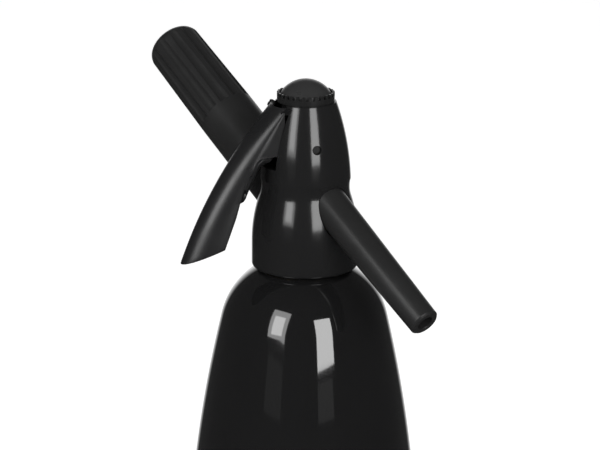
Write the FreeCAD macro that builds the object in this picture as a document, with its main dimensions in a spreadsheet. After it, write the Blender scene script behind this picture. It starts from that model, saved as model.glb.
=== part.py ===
"""Soda siphon: a lacquered bottle under a screw-on head with a lever, a spout and a charger holder.

The frame has +Z up, its origin at the centre of the base and +X along the spout as seen from above.
Lengths are in millimetres and angles in degrees. Heights called head heights start at the shoulder
line, which is the plane of the head skirt's lower edge.
"""
import FreeCAD, Part
import math
import os
import types

import Sketcher

doc = FreeCAD.newDocument("soda_siphon")

SIZES = {
    # bottle: spun aluminium, foot to neck
    "bottle_height": 200.0,
    "belly_radius": 53.1,
    "belly_height": 40.0,
    "belly_bow": 600.0,
    "lower_bow": 834.0,
    "shoulder_round": 34.0,
    "neck_foot_radius": 20.5,
    "neck_foot_drop": 0.5,
    "neck_radius": 17.5,
    "neck_rise": 14.0,
    "neck_bore": 15.0,
    "bottle_wall": 1.5,
    "foot_round": 8.0,
    "foot_lift": 2.0,
    "foot_ring_inner": 36.0,
    "punt_depth": 5.0,
    # rubber base ring under the foot
    "ring_lip": 1.0,
    "ring_gap": 0.1,
    "ring_edge": 1.5,
    "ring_top": 11.0,
    # seal between the neck and the head
    "gasket_thickness": 1.5,
    "gasket_inset": 0.2,
    "rest_gap": 0.1,
    # head housing: moulded bell in two bows over a waist
    "skirt_radius": 23.7,
    "skirt_edge": 1.8,
    "skirt_straight": 12.0,
    "skirt_bow": 65.0,
    "waist_radius": 19.7,
    "waist_height": 36.9,
    "waist_blend": 15.0,
    "waist_half": 3.8,
    "dome_bow": 115.0,
    "head_top_radius": 13.6,
    "head_top": 75.1,
    "head_edge": 0.4,
    "housing_wall": 3.0,
    "cap_bore": 10.6,
    "cap_thread_depth": 7.6,
    "ledge_inset": 2.0,
    # valve body: turned core that screws on the neck
    "collar_radius": 21.3,
    "collar_gap": 0.2,
    "collar_bottom": 1.2,
    "collar_top": 20.0,
    "thread_gap": 0.15,
    "column_radius": 12.5,
    "column_top": 48.0,
    "neck_boss_radius": 12.4,
    "neck_boss_bottom": 8.0,
    "chamber_radius": 5.2,
    "chamber_wall": 2.0,
    "seat_height": 25.0,
    "water_way": 2.4,
    "gland_radius": 6.2,
    "gland_seat": 44.0,
    # riser tube and its seal
    "riser_radius": 3.25,
    "riser_wall": 0.95,
    "riser_stop": 14.0,
    "riser_gland_top": 12.0,
    "riser_clearance": 3.0,
    "slip_gap": 0.1,
    "riser_nut_hex": 6.3,
    "riser_nut_height": 5.0,
    "riser_spigot": 1.9,
    # gas way with its check valve
    "gas_way_reach": 9.0,
    "gas_way_radius": 1.5,
    "check_bore": 2.6,
    "check_seat": 17.0,
    "check_ball_radius": 1.9,
    "check_plug_height": 2.0,
    "check_plug_hole": 0.9,
    "check_wire": 0.4,
    "check_turns": 5.0,
    # relief valve on the far side from the lever
    "relief_height": 27.5,
    "relief_boss_radius": 5.0,
    "relief_boss_end": 16.1,
    "relief_seat": 10.8,
    "relief_bore": 3.2,
    "relief_way": 1.2,
    "relief_poppet_height": 1.5,
    "relief_wire": 0.45,
    "relief_turns": 3.0,
    "relief_cap_depth": 1.4,
    "relief_cap_head": 0.8,
    # lever, its pin and the slot in the housing
    "lever_azimuth": -110.0,
    "pin_reach": 1.5,
    "pin_height": 57.0,
    "pin_radius": 2.0,
    "pin_inset": 1.2,
    "pin_chamfer": 0.3,
    "pin_play": 0.05,
    "lever_crown_reach": 16.2,
    "lever_crown_height": 73.7,
    "lever_tip_reach": 58.0,
    "lever_tip_height": 6.0,
    "lever_bow": 4.1,
    "lever_wall": 2.0,
    "lever_top_width": 17.6,
    "lever_tip_width": 19.2,
    "lever_top_arch": 3.5,
    "lever_tip_arch": 15.0,
    "lever_arch_spread": 75.0,
    "lever_depth": 45.0,
    "lever_top_reach": 12.2,
    "lever_top_height": 74.3,
    "lever_end_reach": 40.7,
    "lever_end_height": 13.2,
    "lever_end_round": 2.5,
    "lever_tip_round": 2.0,
    "lever_rim_low_reach": 35.5,
    "lever_rim_low_height": 27.0,
    "lever_rim_reach": 31.5,
    "lever_rim_height": 41.1,
    "lever_rim_high_reach": 25.2,
    "lever_rim_high_height": 53.3,
    "lever_arm_reach": 19.0,
    "lever_back_reach": 10.5,
    "lever_back_height": 61.5,
    "lever_back_top": 66.5,
    "lever_hub": 4.0,
    "lever_nose_arm": 6.5,
    "lever_nose": 2.5,
    "nose_gap": 0.3,
    "slot_side_gap": 0.5,
    "slot_bottom": 47.0,
    "slot_lip": 1.0,
    # valve stem and what seals it
    "stem_radius": 2.45,
    "stem_play": 0.1,
    "disc_radius": 4.4,
    "disc_thickness": 1.9,
    "disc_spigot": 1.2,
    "stem_flange": 1.4,
    "stem_travel": 1.7,
    "blade_half": 2.2,
    "blade_bottom": 50.8,
    "bar_half": 7.9,
    "bar_thickness": 2.5,
    "bar_width": 3.6,
    "spring_seat_radius": 6.2,
    "spring_seat_height": 1.5,
    "seal_washer_thickness": 0.6,
    "stem_seal_section": 0.92,
    "gland_hex": 8.4,
    "gland_hex_height": 2.4,
    # valve spring
    "spring_radius": 4.8,
    "spring_wire": 1.1,
    "spring_turns": 5.0,
    # dome cap and its toothed ring
    "cap_ceiling": 73.4,
    "cap_plug_bore": 8.2,
    "cap_plug_gap": 1.0,
    "dome_radius": 11.3,
    "dome_rise": 6.3,
    "dome_shoulder": 2.5,
    "cap_ring_radius": 12.75,
    "cap_ring_height": 4.2,
    "cap_ring_foot": 0.9,
    "cap_ring_gap": 0.35,
    "tooth_depth": 1.6,
    "tooth_gap": 1.4,
    "tooth_count": 28,
    # spout
    "spout_height": 41.8,
    "spout_droop": 32.1,
    "spout_reach": 93.4,
    "spout_root": 17.6,
    "spout_root_radius": 8.3,
    "spout_mouth_radius": 6.7,
    "spout_bevel": 0.9,
    "spout_bore": 3.6,
    "spout_hole_gap": 0.2,
    "nipple_radius": 5.0,
    "nipple_bore": 2.6,
    "nipple_start": 8.0,
    "nipple_end": 40.0,
    "port_lead": 2.0,
    "nipple_groove": 28.0,
    "nipple_groove_width": 1.2,
    "nipple_groove_depth": 0.8,
    # charger socket, pin and seals
    "holder_height": 23.4,
    "holder_rise": 32.7,
    "gas_boss_radius": 8.0,
    "gas_boss_end": 18.0,
    "socket_nose_radius": 4.8,
    "socket_nose_start": 10.9,
    "socket_washer": 0.6,
    "socket_radius": 11.0,
    "socket_end": 45.0,
    "socket_chamfer": 0.8,
    "socket_neck_radius": 4.9,
    "socket_floor": 38.5,
    "pierce_radius": 1.2,
    "pierce_bore": 0.5,
    "pierce_root": 33.0,
    "pierce_tip": 41.4,
    "charger_seal_thickness": 1.8,
    # gas charger: the standard 8 gram size
    "charger_start": 40.6,
    "charger_length": 65.5,
    "charger_radius": 9.3,
    "charger_neck_radius": 4.4,
    "charger_neck_length": 6.4,
    "charger_flare_radius": 6.0,
    "charger_flare_rise": 3.2,
    "charger_shoulder": 15.4,
    "charger_dome": 8.6,
    "charger_wall": 1.3,
    "charger_hole": 0.9,
    # charger holder: screw-on fluted grip
    "holder_radius": 13.25,
    "holder_far_radius": 12.5,
    "holder_reach": 115.6,
    "holder_corner": 5.5,
    "holder_crown_tilt": 10.0,
    "holder_seam": 34.0,
    "seam_gap": 0.4,
    "holder_play": 0.3,
    "flute_start": 65.0,
    "flute_radius": 3.2,
    "flute_depth": 1.35,
    "flute_count": 12,
    "liner_wall": 1.1,
    "liner_length": 13.2,
    "boss_bore_gap": 0.25,
    # how far a cut runs on past what it cuts
    "cut_margin": 1.0,
}

sheet = doc.addObject("Spreadsheet::Sheet", "Sizes")
for row, (name, number) in enumerate(SIZES.items(), start=1):
    sheet.set(f"A{row}", name)
    sheet.set(f"B{row}", str(number))
    sheet.setAlias(f"B{row}", name)
doc.recompute()


class Size:
    """A size that knows its value now and the sheet expression that drives it."""

    def __init__(self, value, text):
        self.value = float(value)
        self.text = text

    def __add__(self, other):
        other = as_size(other)
        return Size(self.value + other.value, f"({self.text} + {other.text})")

    def __sub__(self, other):
        other = as_size(other)
        return Size(self.value - other.value, f"({self.text} - {other.text})")

    def __rsub__(self, other):
        return as_size(other) - self

    def __mul__(self, other):
        other = as_size(other)
        return Size(self.value * other.value, f"({self.text} * {other.text})")

    def __truediv__(self, other):
        other = as_size(other)
        return Size(self.value / other.value, f"({self.text} / {other.text})")

    def __neg__(self):
        return Size(-self.value, f"(0 - {self.text})")

    __radd__ = __add__
    __rmul__ = __mul__


def as_size(item):
    """A plain number becomes a Size, and a Size stays as it is."""
    return item if isinstance(item, Size) else Size(item, repr(float(item)))


def root(size):
    return Size(math.sqrt(size.value), f"sqrt({size.text})")


def cosine(angle):
    return Size(math.cos(math.radians(angle.value)), f"cos({angle.text} * 1 deg)")


def sine(angle):
    return Size(math.sin(math.radians(angle.value)), f"sin({angle.text} * 1 deg)")


QUARTER_TURN = 90.0
NUT_TURN = 30.0
BELL_SEAM_TURN = 45.0

s = types.SimpleNamespace(**{name: Size(sheet.get(name), f"Sizes.{name}") for name in SIZES})


# how pieces are placed and drawn

def seat(item, base=(0, 0, 0), yaw=0, roll=0):
    """Place an item by its point, rolled about X and then turned about Z."""
    spot = "; ".join(as_size(value).text for value in base)
    spin = f"{as_size(yaw).text}; 0; {as_size(roll).text}"
    item.setExpression("Placement", f"placement(vector({spot}); rotation({spin}))")
    return item


def on_head(item, lift=0):
    """Upright on the head's axis, lift above the shoulder line."""
    return seat(item, (0, 0, s.bottle_height + lift))


def along_spout(item, start=0):
    """Local Z runs out along the spout."""
    base = (start * cosine(s.spout_droop), 0,
            s.bottle_height + s.spout_height - start * sine(s.spout_droop))
    return seat(item, base, yaw=QUARTER_TURN, roll=QUARTER_TURN + s.spout_droop)


def along_holder(item, start=0):
    """Local Z runs out along the charger holder, opposite the spout."""
    base = (-(start * cosine(s.holder_rise)), 0,
            s.bottle_height + s.holder_height + start * sine(s.holder_rise))
    return seat(item, base, yaw=QUARTER_TURN, roll=s.holder_rise - QUARTER_TURN)


def lever_point(reach, across, lift):
    """A point reach out along the lever and across it, lift above the shoulder line."""
    return (reach * cosine(s.lever_azimuth) - across * sine(s.lever_azimuth),
            reach * sine(s.lever_azimuth) + across * cosine(s.lever_azimuth),
            s.bottle_height + lift)


def in_lever_frame(item, reach=0, across=0, lift=0):
    """Local X runs out along the lever, local Y along its pin."""
    return seat(item, lever_point(reach, across, lift), yaw=s.lever_azimuth)


def across_lever(item, reach, across, lift):
    """Local Z runs along the lever's pin."""
    return seat(item, lever_point(reach, across, lift), yaw=s.lever_azimuth, roll=-QUARTER_TURN)


def out(radius):
    """An edge that bows outwards with this radius."""
    return as_size(radius), 1


def dip(radius):
    """An edge that bows inwards with this radius."""
    return as_size(radius), -1


def arc_between(start, end, radius, turn):
    """The short arc from start to end, anticlockwise for a turn of 1."""
    chord = end - start
    middle = (start + end) * 0.5
    rise = math.sqrt(max(radius ** 2 - (chord.Length / 2) ** 2, 0.0))
    left = FreeCAD.Vector(-chord.y, chord.x, 0).normalize()
    centre = middle + left * (rise * turn)
    first, last = (start, end) if turn > 0 else (end, start)
    angles = [math.atan2(point.y - centre.y, point.x - centre.x) for point in (first, last)]
    circle = Part.Circle(centre, FreeCAD.Vector(0, 0, 1), radius)
    return Part.ArcOfCircle(circle, *angles)


def drawn(body, plane, outline, lift=None):
    """A closed sketch of points (x, y) or (x, y, bow of the edge that leads there)."""
    sketch = body.newObject("Sketcher::SketchObject", body.Name + "_outline")
    origin_plane = next(item for item in body.Origin.OriginFeatures if item.Role == plane)
    sketch.AttachmentSupport = [(origin_plane, "")]
    sketch.MapMode = "FlatFace"
    if lift is not None:
        sketch.setExpression("AttachmentOffset.Base.z", lift.text)
    points = [[as_size(value) for value in point[:2]] for point in outline]
    spots = [FreeCAD.Vector(x.value, y.value, 0) for x, y in points]
    ends = []
    for index, point in enumerate(outline):
        start, end = spots[index - 1], spots[index]
        if len(point) == 2:
            sketch.addGeometry(Part.LineSegment(start, end), False)
            ends.append((1, 2))
            continue
        radius, turn = point[2]
        sketch.addGeometry(arc_between(start, end, radius.value, turn), False)
        ends.append((1, 2) if turn > 0 else (2, 1))
        edge = sketch.addConstraint(Sketcher.Constraint("Radius", index, radius.value))
        sketch.setExpression(f"Constraints[{edge}]", radius.text)
    for index, (x, y) in enumerate(points):
        after = (index + 1) % len(points)
        finish = ends[index][1]
        sketch.addConstraint(Sketcher.Constraint("Coincident", index, finish, after, ends[after][0]))
        if x.value == 0:
            sketch.addConstraint(Sketcher.Constraint("PointOnObject", index, finish, -2))
        else:
            across = sketch.addConstraint(Sketcher.Constraint("DistanceX", -1, 1, index, finish, x.value))
            sketch.setExpression(f"Constraints[{across}]", x.text)
        up = sketch.addConstraint(Sketcher.Constraint("DistanceY", -1, 1, index, finish, y.value))
        sketch.setExpression(f"Constraints[{up}]", y.text)
    return sketch


def disc_drawn(body, reach, radius, lift):
    """A sketch of one circle, reach out along X and lift up."""
    sketch = body.newObject("Sketcher::SketchObject", body.Name + "_disc")
    origin_plane = next(item for item in body.Origin.OriginFeatures if item.Role == "XY_Plane")
    sketch.AttachmentSupport = [(origin_plane, "")]
    sketch.MapMode = "FlatFace"
    sketch.setExpression("AttachmentOffset.Base.z", lift.text)
    centre = FreeCAD.Vector(reach.value, 0, 0)
    sketch.addGeometry(Part.Circle(centre, FreeCAD.Vector(0, 0, 1), radius.value), False)
    sketch.addConstraint(Sketcher.Constraint("PointOnObject", 0, 3, -1))
    across = sketch.addConstraint(Sketcher.Constraint("DistanceX", -1, 1, 0, 3, reach.value))
    sketch.setExpression(f"Constraints[{across}]", reach.text)
    round_size = sketch.addConstraint(Sketcher.Constraint("Radius", 0, radius.value))
    sketch.setExpression(f"Constraints[{round_size}]", radius.text)
    return sketch


def turned(label, outline):
    """A body turned about its own Z axis from an outline of (radius, height)."""
    body = doc.addObject("PartDesign::Body", label)
    sketch = drawn(body, "XZ_Plane", outline)
    turn = body.newObject("PartDesign::Revolution", label + "_turn")
    turn.Profile = sketch
    turn.ReferenceAxis = (sketch, ["V_Axis"])
    turn.Angle = 360
    return body


def bowed(label, outline):
    """A turned piece whose long bows are splines, so that holes can be cut through them."""
    spots = [FreeCAD.Vector(as_size(point[0]).value, as_size(point[1]).value, 0) for point in outline]
    edges = []
    for index, point in enumerate(outline):
        start, end = spots[index - 1], spots[index]
        curve = Part.LineSegment(start, end)
        if len(point) == 3:
            radius, turn = point[2]
            curve = arc_between(start, end, radius.value, turn)
            if radius.value > end.x:
                curve = curve.toBSpline(curve.FirstParameter, curve.LastParameter)
        edges.append(curve.toShape())
    face = Part.Face(Part.Wire(Part.__sortEdges__(edges)))
    face.rotate(FreeCAD.Vector(), FreeCAD.Vector(1, 0, 0), 90)
    item = doc.addObject("Part::Feature", label)
    item.Shape = face.revolve(FreeCAD.Vector(), FreeCAD.Vector(0, 0, 1), 360)
    return item


def ring(label, inner, outer, bottom, top):
    """A plain turned ring."""
    return turned(label, [(inner, bottom), (outer, bottom), (outer, top), (inner, top)])


def rod(label, radius, length):
    """A plain cylinder up its own Z axis."""
    item = doc.addObject("Part::Cylinder", label)
    item.setExpression("Radius", as_size(radius).text)
    item.setExpression("Height", as_size(length).text)
    return item


def block(label, length, width, height):
    """A box from its own corner."""
    item = doc.addObject("Part::Box", label)
    for side, value in zip(("Length", "Width", "Height"), (length, width, height)):
        item.setExpression(side, as_size(value).text)
    return item


def hexagon(label, radius, height):
    """A hexagonal prism up its own Z axis, with this radius over its corners."""
    item = doc.addObject("Part::Prism", label)
    item.Polygon = 6
    item.setExpression("Circumradius", as_size(radius).text)
    item.setExpression("Height", as_size(height).text)
    return item


def joined(label, *pieces):
    item = doc.addObject("Part::MultiFuse", label)
    item.Shapes = list(pieces)
    item.Refine = True
    return item


def less(label, blank, *tools):
    """The blank with every tool cut away."""
    cutter = tools[0] if len(tools) == 1 else joined(label + "_tools", *tools)
    item = doc.addObject("Part::Cut", label)
    item.Base = blank
    item.Tool = cutter
    item.Refine = True
    return item


def o_ring(label, mean, section):
    item = doc.addObject("Part::Torus", label)
    item.setExpression("Radius1", as_size(mean).text)
    item.setExpression("Radius2", as_size(section).text)
    return item


def reach_of_bow(start, end, radius, height):
    """How far out an outward bow from start to end lies at a height."""
    across, up = end[0] - start[0], end[1] - start[1]
    chord = root(across * across + up * up)
    rise = root(radius * radius - chord * chord / 4) / chord
    centre = (start[0] + end[0]) / 2 - up * rise
    above = height - (start[1] + end[1]) / 2 - across * rise
    return centre + root(radius * radius - above * above)


def coil(label, mean, wire, length, turns):
    """A helical spring up its own Z axis, from the middle of its first wire."""
    height = length.value - wire.value
    helix = Part.makeHelix(height / turns.value, height, mean.value)
    section = Part.Circle(FreeCAD.Vector(mean.value, 0, 0), FreeCAD.Vector(0, 1, 0), wire.value / 2)
    item = doc.addObject("Part::Feature", label)
    item.Shape = Part.Wire(helix).makePipeShell([Part.Wire(section.toShape())], True, True)
    return item


# bottle: one spun shell with a threaded neck

foot_top = s.foot_lift + s.foot_round
foot_radius = s.belly_radius - s.lower_bow + root(
    s.lower_bow * s.lower_bow - (s.belly_height - foot_top) * (s.belly_height - foot_top))
foot_flat = foot_radius - s.foot_round
belly_centre = s.belly_radius - s.belly_bow
inner_round = s.shoulder_round - s.bottle_wall
# the shoulder's round leaves the belly's bow without a corner and ends at the foot of the neck
neck_foot_height = s.bottle_height - s.neck_foot_drop
foot_across = s.neck_foot_radius - belly_centre
foot_up = neck_foot_height - s.belly_height
foot_way = root(foot_across * foot_across + foot_up * foot_up)
centre_way = s.belly_bow - s.shoulder_round
centre_along = (foot_way * foot_way + centre_way * centre_way - s.shoulder_round * s.shoulder_round) / (
    2 * foot_way)
centre_aside = root(centre_way * centre_way - centre_along * centre_along)
lean_out = (centre_along * foot_across + centre_aside * foot_up) / (foot_way * centre_way)
lean_up = (centre_along * foot_up - centre_aside * foot_across) / (foot_way * centre_way)
shoulder_radius = belly_centre + s.belly_bow * lean_out
shoulder_height = s.belly_height + s.belly_bow * lean_up
neck_bore_across = s.neck_bore - belly_centre - centre_way * lean_out
neck_bore_height = s.belly_height + centre_way * lean_up + root(
    inner_round * inner_round - neck_bore_across * neck_bore_across)
punt_round = (s.foot_ring_inner * s.foot_ring_inner + s.punt_depth * s.punt_depth) / (2 * s.punt_depth)
neck_top = s.bottle_height + s.neck_rise
floor_top = s.foot_lift + s.punt_depth + s.bottle_wall

seat(turned("bottle", [
    (0, s.foot_lift + s.punt_depth),
    (s.foot_ring_inner, s.foot_lift, dip(punt_round)),
    (foot_flat, s.foot_lift),
    (foot_radius, foot_top, out(s.foot_round)),
    (s.belly_radius, s.belly_height, out(s.lower_bow)),
    (shoulder_radius, shoulder_height, out(s.belly_bow)),
    (s.neck_foot_radius, neck_foot_height, out(s.shoulder_round)),
    (s.neck_radius, s.bottle_height + s.collar_bottom),
    (s.neck_radius, neck_top),
    (s.neck_bore, neck_top),
    (s.neck_bore, neck_bore_height),
    (shoulder_radius - s.bottle_wall * lean_out, shoulder_height - s.bottle_wall * lean_up,
     dip(inner_round)),
    (s.belly_radius - s.bottle_wall, s.belly_height, dip(s.belly_bow - s.bottle_wall)),
    (foot_radius - s.bottle_wall, foot_top, dip(s.lower_bow - s.bottle_wall)),
    (foot_flat, s.foot_lift + s.bottle_wall, dip(s.foot_round - s.bottle_wall)),
    (s.foot_ring_inner, s.foot_lift + s.bottle_wall),
    (0, floor_top, out(punt_round)),
]))

# base ring: rubber hoop that the foot sits in

ring_outer = foot_radius + s.ring_gap + s.ring_lip
seat(turned("base_ring", [
    (s.foot_ring_inner, 0),
    (ring_outer - s.ring_edge, 0),
    (ring_outer, s.ring_edge, out(s.ring_edge)),
    (ring_outer, s.ring_top),
    (foot_radius + s.ring_gap, s.ring_top),
    (foot_radius + s.ring_gap, foot_top),
    (foot_flat, s.foot_lift - s.ring_gap, dip(s.foot_round + s.ring_gap)),
    (s.foot_ring_inner, s.foot_lift - s.ring_gap),
]))

# head gasket: flat rubber ring on the neck's lip

gasket_bottom = s.neck_rise + s.rest_gap
gasket_top = gasket_bottom + s.gasket_thickness
collar_ceiling = gasket_top + s.rest_gap
on_head(ring("head_gasket", s.neck_bore + s.gasket_inset, s.neck_radius - s.gasket_inset,
             gasket_bottom, gasket_top))

# valve body: collar on the neck, column above it, bosses for the gas inlet and the relief valve

riser_socket = s.riser_radius + s.slip_gap
collar_bore = s.neck_radius + s.thread_gap
core = on_head(turned("valve_core", [
    (s.chamber_radius, s.neck_boss_bottom),
    (s.neck_boss_radius, s.neck_boss_bottom),
    (s.neck_boss_radius, collar_ceiling),
    (collar_bore, collar_ceiling),
    (collar_bore, s.collar_bottom),
    (s.collar_radius, s.collar_bottom),
    (s.collar_radius, s.collar_top),
    (s.column_radius, s.collar_top),
    (s.column_radius, s.column_top),
    (s.gland_radius, s.column_top),
    (s.gland_radius, s.gland_seat),
    (s.chamber_radius, s.gland_seat),
    (s.chamber_radius, s.seat_height),
    (s.water_way, s.seat_height),
    (s.water_way, s.riser_stop),
    (riser_socket, s.riser_stop),
    (riser_socket, s.riser_gland_top),
    (s.chamber_radius, s.riser_gland_top),
]))
boss_root = s.chamber_radius + s.chamber_wall
gas_boss = along_holder(rod("gas_boss", s.gas_boss_radius, s.gas_boss_end - boss_root), boss_root)


def along_relief(item, start=0):
    """Local Z runs out of the relief valve, along +Y."""
    return seat(item, (0, start, s.bottle_height + s.relief_height), roll=-QUARTER_TURN)


relief_boss = along_relief(rod("relief_boss", s.relief_boss_radius, s.relief_boss_end - boss_root),
                           boss_root)
head_across = 2 * s.waist_radius
spout_port = along_spout(rod("spout_port", s.nipple_radius + s.pin_play, head_across),
                         s.nipple_start - s.port_lead)
spout_face = along_spout(rod("spout_face", s.spout_root_radius + s.spout_hole_gap, head_across),
                         s.spout_root - s.rest_gap)
socket_face_cut = along_holder(rod("socket_face", s.socket_radius + s.spout_hole_gap, head_across),
                               s.gas_boss_end)
gas_port = along_holder(rod("gas_port", s.socket_nose_radius + s.pin_play, s.gas_boss_end),
                        s.socket_nose_start - s.rest_gap)
gas_way_top = s.holder_height + s.gas_way_reach * sine(s.holder_rise) / cosine(s.holder_rise)
gas_way = seat(rod("gas_way", s.gas_way_radius, gas_way_top),
               (-s.gas_way_reach, 0, s.bottle_height))
check_way = seat(rod("check_way", s.check_bore, s.check_seat),
                 (-s.gas_way_reach, 0, s.bottle_height))
relief_way = seat(rod("relief_way", s.relief_way, s.relief_height),
                  (0, s.gas_way_reach, s.bottle_height))
chamber = on_head(rod("chamber", s.chamber_radius, s.gland_seat - s.seat_height), s.seat_height)
relief_orifice = along_relief(rod("relief_orifice", s.relief_way, s.relief_boss_end),
                              s.gas_way_reach)
relief_pocket = along_relief(rod("relief_pocket", s.relief_bore, s.relief_boss_end), s.relief_seat)
less("valve_body", joined("valve_blank", core, gas_boss, relief_boss),
     spout_port, spout_face, gas_port, socket_face_cut, gas_way, check_way,
     chamber, relief_way, relief_orifice, relief_pocket)

# riser tube: reaches almost to the bottle's floor, sealed and held by a nut

riser_bottom = floor_top + s.riser_clearance - s.bottle_height
on_head(ring("riser_tube", s.riser_radius - s.riser_wall, s.riser_radius,
             riser_bottom, s.riser_stop - s.rest_gap))
spigot_top = s.neck_boss_bottom + s.riser_spigot
riser_section = (s.chamber_radius - s.riser_radius) / 2 - s.pin_play / 2
on_head(o_ring("riser_seal", (s.chamber_radius + s.riser_radius) / 2, riser_section),
        (spigot_top + s.riser_gland_top) / 2)
nut_bottom = s.neck_boss_bottom - s.riser_nut_height
nut_body = seat(hexagon("riser_nut_body", s.riser_nut_hex, s.riser_nut_height),
                (0, 0, s.bottle_height + nut_bottom), yaw=NUT_TURN)
nut_spigot = on_head(rod("riser_nut_spigot", s.chamber_radius - s.pin_play, s.riser_spigot),
                     s.neck_boss_bottom)
nut_bore = on_head(rod("riser_nut_bore", riser_socket, s.riser_nut_height + s.riser_spigot), nut_bottom)
less("riser_nut", joined("riser_nut_blank", nut_body, nut_spigot), nut_bore)

# check valve in the gas way: ball, spring and drilled plug

ball_drop = root(s.check_ball_radius * s.check_ball_radius - s.gas_way_radius * s.gas_way_radius)
ball_height = s.check_seat - ball_drop - s.pin_play
ball = doc.addObject("Part::Sphere", "check_ball")
ball.setExpression("Radius", s.check_ball_radius.text)
seat(ball, (-s.gas_way_reach, 0, s.bottle_height + ball_height))
plug_top = s.neck_boss_bottom + s.check_plug_height
check_spring_length = ball_height - ball_drop - s.check_wire / 2 - plug_top
seat(coil("check_spring", s.gas_way_radius, s.check_wire, check_spring_length, s.check_turns),
     (-s.gas_way_reach, 0, s.bottle_height + plug_top + s.check_wire / 2))
seat(ring("check_plug", s.check_plug_hole, s.check_bore - s.pin_play, s.neck_boss_bottom, plug_top),
     (-s.gas_way_reach, 0, s.bottle_height))

# relief valve: poppet, spring and vented cap

relief_shoulder = s.relief_seat + s.rest_gap + s.relief_poppet_height
relief_cap_face = s.relief_boss_end - s.relief_cap_depth
poppet_radius = s.relief_bore - s.stem_play
along_relief(ring("relief_poppet", 0, poppet_radius, s.relief_seat + s.rest_gap, relief_shoulder))
along_relief(coil("relief_spring", s.relief_bore / 2 + s.relief_wire, s.relief_wire,
                  relief_cap_face - relief_shoulder, s.relief_turns),
             relief_shoulder + s.relief_wire / 2)
along_relief(turned("relief_cap", [
    (s.relief_way, relief_cap_face),
    (s.relief_bore - s.pin_play, relief_cap_face),
    (s.relief_bore - s.pin_play, s.relief_boss_end),
    (s.relief_boss_radius, s.relief_boss_end),
    (s.relief_boss_radius, s.relief_boss_end + s.relief_cap_head),
    (s.relief_way, s.relief_boss_end + s.relief_cap_head),
]))

# valve stem: rod with a rubber disc below and a forked head that the lever lifts

disc_top = s.seat_height + s.rest_gap + s.disc_thickness
bar_bottom = s.pin_height + s.lever_nose + s.nose_gap
bar_top = bar_bottom + s.bar_thickness
on_head(ring("valve_disc", s.disc_spigot + s.pin_play, s.disc_radius,
             s.seat_height + s.rest_gap, disc_top))
nose_reach = s.pin_reach - s.lever_nose_arm
bar_reach = nose_reach - s.bar_width / 2
slot_half = s.pin_radius + s.stem_play
slot_low = s.pin_height - s.stem_travel - s.stem_play
blade_outer = s.pin_reach + slot_half + s.blade_half
stem_parts = [
    in_lever_frame(rod("stem_spigot", s.disc_spigot, s.disc_thickness), lift=s.seat_height + s.rest_gap),
    in_lever_frame(rod("stem_flange", s.disc_radius, s.stem_flange), lift=disc_top),
    in_lever_frame(rod("stem_rod", s.stem_radius, bar_top - disc_top), lift=disc_top),
    in_lever_frame(block("stem_blade", blade_outer - bar_reach, 2 * s.blade_half,
                         bar_top - s.blade_bottom),
                   bar_reach, -s.blade_half, s.blade_bottom),
    in_lever_frame(block("stem_bar", s.bar_width, 2 * s.bar_half, s.bar_thickness),
                   bar_reach, -s.bar_half, bar_bottom),
    in_lever_frame(rod("stem_spring_seat", s.spring_seat_radius, s.spring_seat_height), lift=bar_top),
]


slot_span = 2 * (s.blade_half + s.cut_margin)
pin_slot = [
    across_lever(rod("pin_slot_low", slot_half, slot_span), s.pin_reach, -slot_span / 2, slot_low),
    across_lever(rod("pin_slot_high", slot_half, slot_span), s.pin_reach, -slot_span / 2,
                 s.pin_height + s.stem_play),
    in_lever_frame(block("pin_slot_middle", 2 * slot_half, slot_span,
                         s.pin_height + s.stem_play - slot_low),
                   s.pin_reach - slot_half, -slot_span / 2, slot_low),
]
less("valve_stem", joined("stem_blank", *stem_parts), *pin_slot)

# gland: washer, seal ring and gland nut round the stem

washer_top = s.gland_seat + s.seal_washer_thickness
on_head(ring("seal_washer", s.stem_radius + s.stem_play, s.gland_radius - s.pin_play,
             s.gland_seat, washer_top))
stem_seal_mean = s.stem_radius + s.stem_seal_section + s.pin_play
stem_seal_groove = stem_seal_mean + s.stem_seal_section + s.pin_play
groove_top = washer_top + 2 * s.stem_seal_section + s.pin_play
on_head(o_ring("stem_seal", stem_seal_mean, s.stem_seal_section),
        washer_top + s.stem_seal_section + s.pin_play / 2)
gland_plug = on_head(rod("gland_plug", s.gland_radius - s.pin_play, s.column_top - washer_top), washer_top)
gland_head = on_head(hexagon("gland_head", s.gland_hex, s.gland_hex_height), s.column_top)
gland_bore = on_head(rod("gland_bore", s.stem_radius + s.stem_play, s.column_top), washer_top)
gland_groove = on_head(rod("gland_groove", stem_seal_groove, groove_top - washer_top), washer_top)
less("stem_gland", joined("gland_blank", gland_plug, gland_head), gland_bore, gland_groove)

# valve spring: pushes the stem down on its seat

seat_top = bar_top + s.spring_seat_height
on_head(coil("valve_spring", s.spring_radius, s.spring_wire, s.cap_ceiling - seat_top, s.spring_turns),
        seat_top + s.spring_wire / 2)

# dome cap: screws in the top of the housing and clamps the toothed ring

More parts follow.
